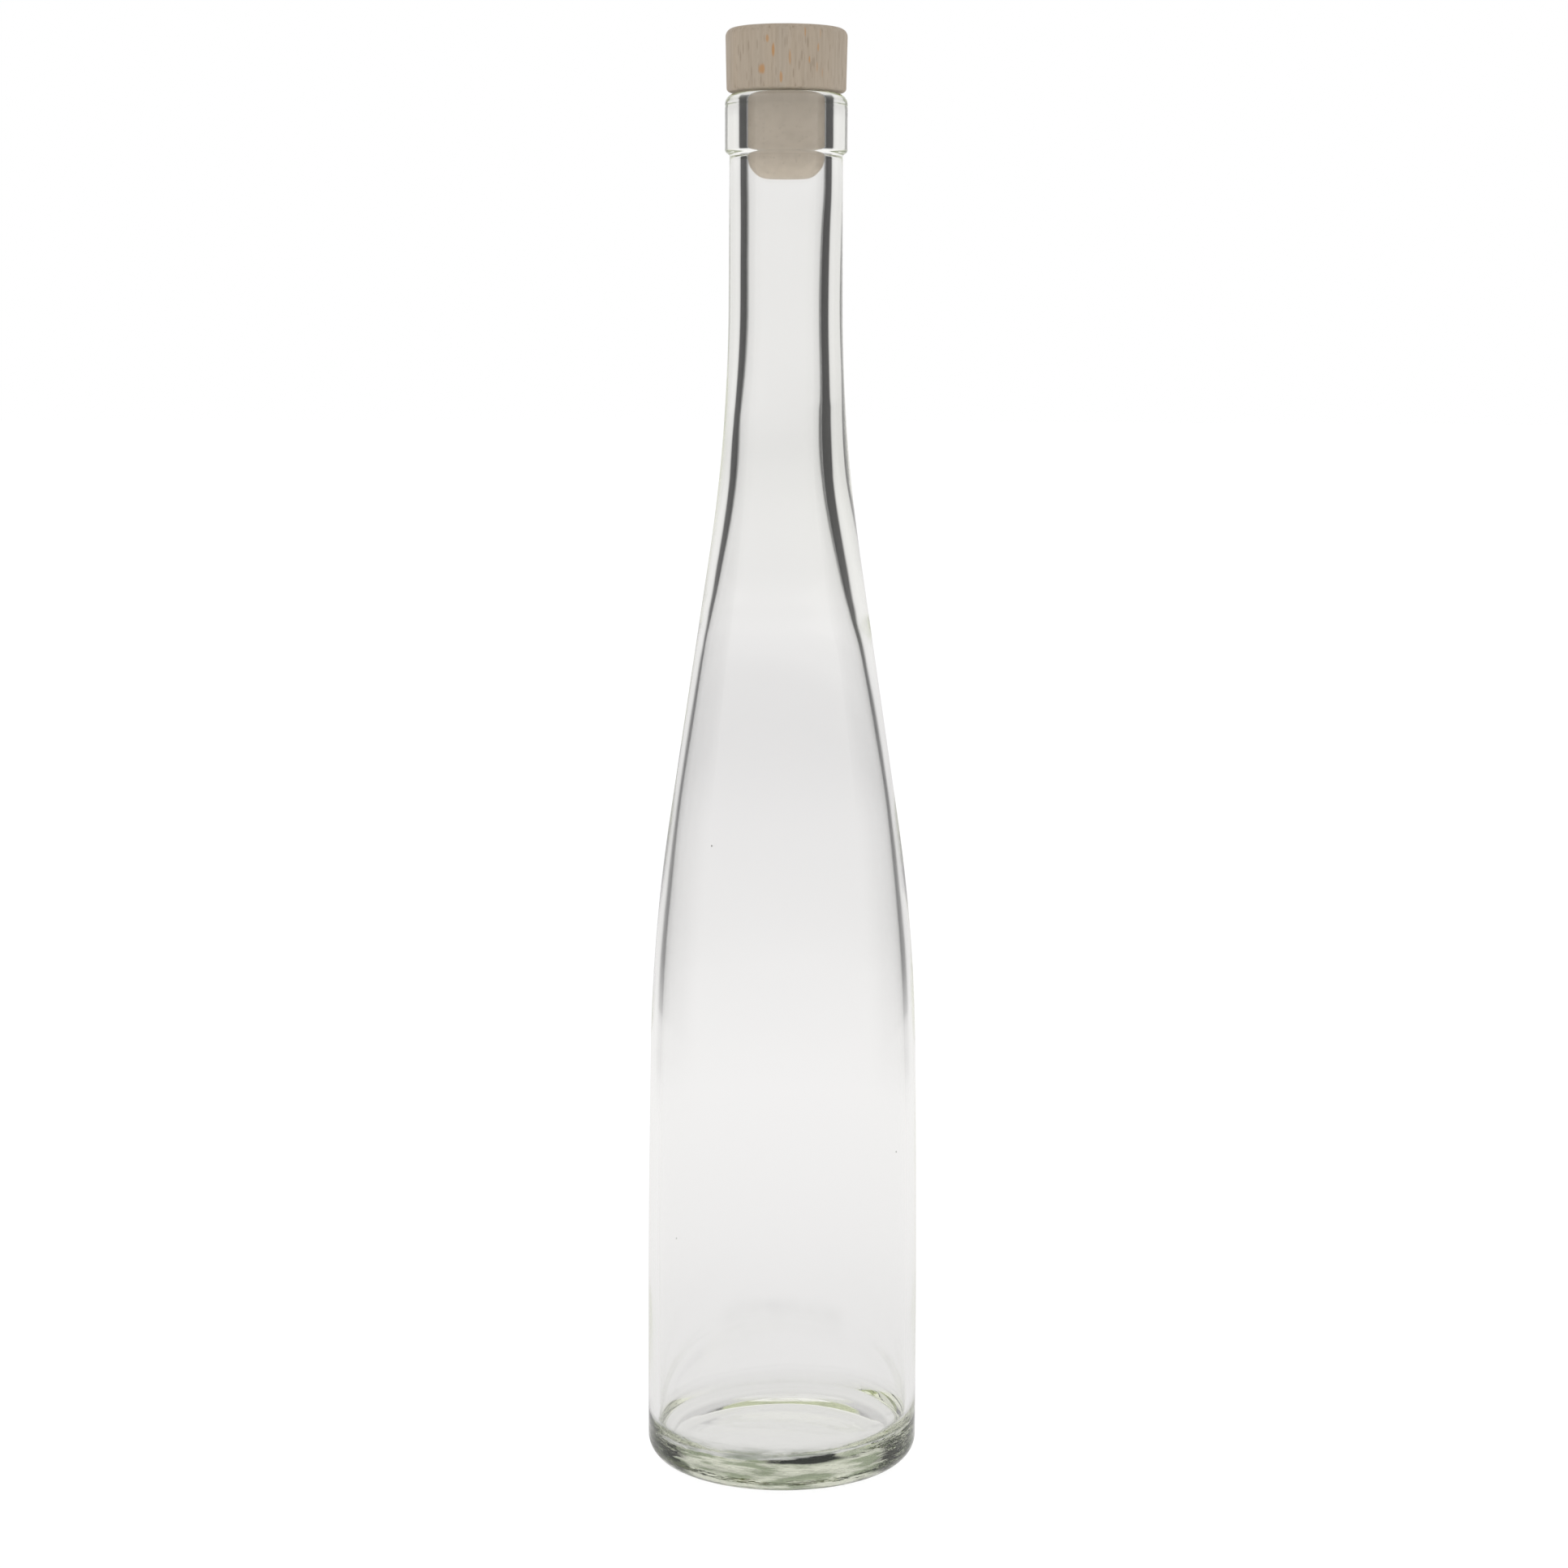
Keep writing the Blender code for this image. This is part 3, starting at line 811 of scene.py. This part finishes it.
def makePlug(worn, material):
    p = mouldedPlug
    top = plugHigh.z - p["pegHeight"]
    endRound = p["endRound"] * math.hypot(p["endInset"], p["endRise"])
    outline = spacedOutline(roundedOutline([
        ((0.0, plugHigh.z), 0.0, 0),
        ((p["pegRadius"], plugHigh.z), p["chamfer"], 4),
        ((p["pegRadius"], top), 0.0, 0),
        ((p["radius"], top), p["chamfer"], 5),
        ((p["radius"], plugLow.z + p["endRise"]), endRound, 8),
        ((p["radius"] - p["endInset"], plugLow.z), endRound, 8),
        ((0.0, plugLow.z), 0.0, 0),
    ]), p["rowSpacing"])
    plug = turnedPiece("moulded_plug", outline, worn, {
        "Segments": p["segments"], "Unevenness": p["unevenness"], "Scale": p["unevenScale"],
        "Seed": p["seed"], "Material": material})
    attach(plug, "stopper")
    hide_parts("stopper_plug")


# Stage: camera, floor, light and dark side cards

cameraSettings = {
    "lens": 73.69,          # mm
    "sensor": 36.0,         # mm
    "distance": 0.761,      # along the ground, from the bottle's axis
    "height": 0.2667,
    "pitchDegrees": 7.588,  # looking down
    "rollDegrees": 0.2,
}

stageSettings = {
    "bounces": 96,             # light turns round many times inside the thick glass of the heel
    "floorRadius": 12.6,       # so far out that its edge doesn't show in the glass
    "floorGap": 0.0002,        # between the floor and the foot
    "floorSides": 96,
    "floorWhite": 0.95,        # what the floor gives by itself, the rest is lit and can be shaded
    "floorLit": (0.12, 0.12, 0.12, 1.0),
    # Floor seen through the glass: distance from the bottle's axis and level, with painted shade where the
    # level drops close to the bottle
    "floorLevels": [(0.0, 0.71), (0.03, 0.74), (0.06, 0.82), (0.13, 0.845), (0.21, 0.887),
                    (0.40, 0.928), (0.62, 0.898), (0.833, 0.835), (1.893, 0.77), (2.692, 0.785),
                    (4.08, 0.83), (12.6, 0.845)],
    "floorHalfway": 0.3,       # the distance that lies at the middle of the ramp
    "skyLevel": 0.905,         # plain light on everything that isn't glass
    "throughLevel": 1.05,      # the same, for what the glass covers
    # The same for the floor: from one distance to another, from one level to another
    "floorThrough": (0.55, 0.70, 2.0, 1.05),
    "glassTint": (1.0, 0.989, 0.996),           # of all that the glass shows
    # Surroundings seen in and through the glass: height of the direction and level
    "skyLevels": [(-0.25, 0.925), (-0.19, 0.895), (-0.165, 0.835), (-0.10, 0.77), (-0.077, 0.785),
                  (-0.055, 0.83), (-0.02, 0.845), (0.03, 0.868), (0.05, 0.893), (0.25, 0.92),
                  (0.40, 0.95), (0.60, 1.04), (0.80, 1.04)],
    "cardDistance": 0.56,
    "cardReach": 0.2,          # how far the cards run forward along the floor
    "cardLift": 0.001,         # clear of the floor
    "cardTop": 0.56,
    "cardSteps": 12,
    "cardColor": (0.012, 0.01116, 0.01176, 1.0),
    # How dense the cards are: degrees off the line of sight, and height or, below 0, floor in front
    "cardTurns": [(14.0, 0.0), (24.0, 0.05), (29.5, 0.14), (36.0, 1.0), (78.0, 1.0), (98.0, 0.0)],
    "cardHeights": [(-0.2, 0.0), (-0.11, 0.05), (-0.05, 0.16), (-0.02, 0.30), (0.01, 0.62),
                    (0.04, 0.85), (0.10, 1.0), (0.42, 1.0), (0.56, 0.0)],
    # From one height to another, the cards start this many degrees further round
    "cardLean": (0.17, 0.24, 0.0, 7.0),
    # From one count of bounces to another, they get this dense
    "cardDepths": (4.0, 5.0, 1.0, 0.3),
}


def makeCamera():
    c = cameraSettings
    camera = bpy.data.objects.new("camera", bpy.data.cameras.new("camera"))
    bpy.context.scene.collection.objects.link(camera)
    camera.data.lens = c["lens"]
    camera.data.sensor_width = c["sensor"]
    camera.location = (0.0, -c["distance"], c["height"])
    pitch = Matrix.Rotation(math.radians(90.0 - c["pitchDegrees"]), 4, "X")
    roll = Matrix.Rotation(math.radians(c["rollDegrees"]), 4, "Z")
    camera.rotation_euler = (pitch @ roll).to_euler()
    bpy.context.scene.camera = camera
    return camera


def levelRamp(tree, value, levels, tint=(1.0, 1.0, 1.0)):
    # Ramp through levels given as place and brightness
    low, high = levels[0][0], levels[-1][0]
    ramp = addNode(tree, "ShaderNodeValToRGB", {"Fac": mapValue(tree, value, low, high)})
    stops = ramp.color_ramp.elements
    while len(stops) < len(levels):
        stops.new(0.5)
    for stop, (place, level) in zip(stops, levels):
        stop.position = (place - low) / (high - low)
        stop.color = (*(level * share for share in tint), 1.0)
    return ramp.outputs[0]


def rayKinds(tree):
    # Seen: what the camera sees in or through the glass
    # Lighting: light that falls on a piece behind glass
    paths = addNode(tree, "ShaderNodeLightPath").outputs
    bounced = addMath(tree, "MAXIMUM", paths["Is Glossy Ray"], paths["Is Transmission Ray"])
    scattered = addMath(tree, "GREATER_THAN", paths["Diffuse Depth"], 0.5)
    seen = addMath(tree, "MULTIPLY", bounced, addMath(tree, "SUBTRACT", 1.0, scattered))
    return {"Seen": seen, "Lighting": addMath(tree, "MULTIPLY", bounced, scattered),
            "Camera": paths["Is Camera Ray"], "Depth": paths["Ray Depth"]}


def stageMaterial(name):
    material = bpy.data.materials.new(name)
    material.use_nodes = True
    tree = material.node_tree
    tree.nodes.remove(tree.nodes["Principled BSDF"])
    place = addNode(tree, "ShaderNodeTexCoord").outputs["Object"]
    return material, tree, place


def makeFloor():
    s = stageSettings
    bpy.ops.mesh.primitive_circle_add(vertices=s["floorSides"], radius=s["floorRadius"], fill_type="NGON")
    floor = bpy.context.object
    floor.name = "floor"
    floor.location.z = glassLow.z - s["floorGap"]
    material, tree, place = stageMaterial("floorPaper")
    away = addNode(tree, "ShaderNodeVectorMath", {0: place}, operation="LENGTH").outputs["Value"]
    kinds = rayKinds(tree)
    covered = mapValue(tree, away, *s["floorThrough"], kind="SMOOTHSTEP")
    level = mapValue(tree, kinds["Lighting"], 0.0, 1.0, s["floorWhite"], covered)
    glow = addNode(tree, "ShaderNodeEmission", {"Strength": level}).outputs[0]
    lit = addNode(tree, "ShaderNodeBsdfDiffuse", {"Color": s["floorLit"]}).outputs[0]
    direct = addNode(tree, "ShaderNodeAddShader", {0: glow, 1: lit}).outputs[0]
    # Far places lie closer together on the ramp, as they do in the view
    reach = addMath(tree, "DIVIDE", away, addMath(tree, "ADD", away, s["floorHalfway"]))
    levels = [(place / (place + s["floorHalfway"]), level) for place, level in s["floorLevels"]]
    through = addNode(tree, "ShaderNodeEmission", {
        "Color": levelRamp(tree, reach, levels, s["glassTint"])}).outputs[0]
    mixed = addNode(tree, "ShaderNodeMixShader", {
        0: kinds["Seen"], 1: direct, 2: through}).outputs[0]
    tree.links.new(mixed, tree.nodes["Material Output"].inputs["Surface"])
    floor.data.materials.append(material)


def makeWorld():
    s = stageSettings
    world = bpy.data.worlds.new("studio")
    bpy.context.scene.world = world
    world.use_nodes = True
    tree = world.node_tree
    tree.nodes.remove(tree.nodes["Background"])
    way = addNode(tree, "ShaderNodeTexCoord").outputs["Generated"]
    rise = addNode(tree, "ShaderNodeSeparateXYZ", {0: way}).outputs["Z"]
    kinds = rayKinds(tree)
    white = (1.0, 1.0, 1.0, 1.0)
    seen = addNode(tree, "ShaderNodeBackground", {"Strength": 1.0, "Color": white}).outputs[0]
    through = addNode(tree, "ShaderNodeBackground", {
        "Color": levelRamp(tree, rise, s["skyLevels"], s["glassTint"])}).outputs[0]
    level = mapValue(tree, kinds["Lighting"], 0.0, 1.0, s["skyLevel"], s["throughLevel"])
    light = addNode(tree, "ShaderNodeBackground", {"Strength": level, "Color": white}).outputs[0]
    first = addNode(tree, "ShaderNodeMixShader", {0: kinds["Seen"], 1: light, 2: through}).outputs[0]
    second = addNode(tree, "ShaderNodeMixShader", {0: kinds["Camera"], 1: first, 2: seen}).outputs[0]
    tree.links.new(second, tree.nodes["World Output"].inputs["Surface"])


def makeCards(camera):
    # Curved dark cards at both sides, seen only through the glass, that stay with the camera
    s = stageSettings
    material, tree, place = stageMaterial("darkCard")
    parts = addNode(tree, "ShaderNodeSeparateXYZ", {0: place}).outputs
    glow = addNode(tree, "ShaderNodeEmission", {"Color": s["cardColor"]}).outputs[0]
    # Soft at the edges, and there only for the camera's own view through the glass
    side = addMath(tree, "ABSOLUTE", parts["X"])
    turn = addMath(tree, "DEGREES", addMath(tree, "ARCTAN2", side, parts["Y"]))
    turn = addMath(tree, "SUBTRACT", turn, mapValue(tree, parts["Z"], *s["cardLean"]))
    inFront = addMath(tree, "SUBTRACT", awayFromAxis(tree, place), s["cardDistance"])
    height = addMath(tree, "ADD", parts["Z"], inFront)
    shown = addMath(tree, "MULTIPLY", levelRamp(tree, turn, s["cardTurns"]),
                    levelRamp(tree, height, s["cardHeights"]))
    kinds = rayKinds(tree)
    shown = addMath(tree, "MULTIPLY", shown, kinds["Seen"])
    shown = addMath(tree, "MULTIPLY", shown, mapValue(tree, kinds["Depth"], *s["cardDepths"]))
    clear = addNode(tree, "ShaderNodeBsdfTransparent").outputs[0]
    mixed = addNode(tree, "ShaderNodeMixShader", {0: shown, 1: clear, 2: glow}).outputs[0]
    tree.links.new(mixed, tree.nodes["Material Output"].inputs["Surface"])
    count = s["cardSteps"]
    start = s["cardTurns"][0][0]
    sweep = s["cardTurns"][-1][0] - start
    near, far = s["cardDistance"] - s["cardReach"], s["cardDistance"]
    profile = [(near, s["cardLift"]), (far, s["cardLift"]), (far, s["cardTop"])]
    for name, side in (("left_card", -1.0), ("right_card", 1.0)):
        points = []
        for step in range(count + 1):
            angle = math.radians(start + sweep * step / count)
            points += [(side * away * math.sin(angle), away * math.cos(angle), height)
                       for away, height in profile]
        faces = [(i, i + 1, i + 4, i + 3) for i in range(3 * count) if i % 3 < 2]
        mesh = bpy.data.meshes.new(name)
        mesh.from_pydata(points, [], faces)
        mesh.materials.append(material)
        card = bpy.data.objects.new(name, mesh)
        bpy.context.scene.collection.objects.link(card)
        card.parent = camera
        card.matrix_parent_inverse = camera.matrix_basis.inverted()
        card.visible_camera = False
        card.visible_shadow = False
        card.visible_diffuse = False
        card.visible_glossy = False


def main():
    bpy.context.scene.view_settings.view_transform = "Standard"
    for limit in ("max_bounces", "glossy_bounces", "transmission_bounces"):
        setattr(bpy.context.scene.cycles, limit, stageSettings["bounces"])
    camera = makeCamera()
    makeFloor()
    makeWorld()
    makeCards(camera)
    print("stage made")

    turnedOutline = turnedOutlineGroup()
    finishedPiece = finishedGroup()
    stretchedNoise = stretchedNoiseGroup()
    scatteredDashes = dashesGroup()
    singleFleck = fleckGroup()
    makeBottle(turnedOutline, finishedPiece, glassMaterial(stretchedNoise, singleFleck))
    print("bottle made")
    worn = wornTree(turnedOutline, finishedPiece)
    makeHead(worn, beechMaterial(stretchedNoise, scatteredDashes, singleFleck))
    makePlug(worn, plugMaterial(stretchedNoise, scatteredDashes))
    print("stopper made")


main()
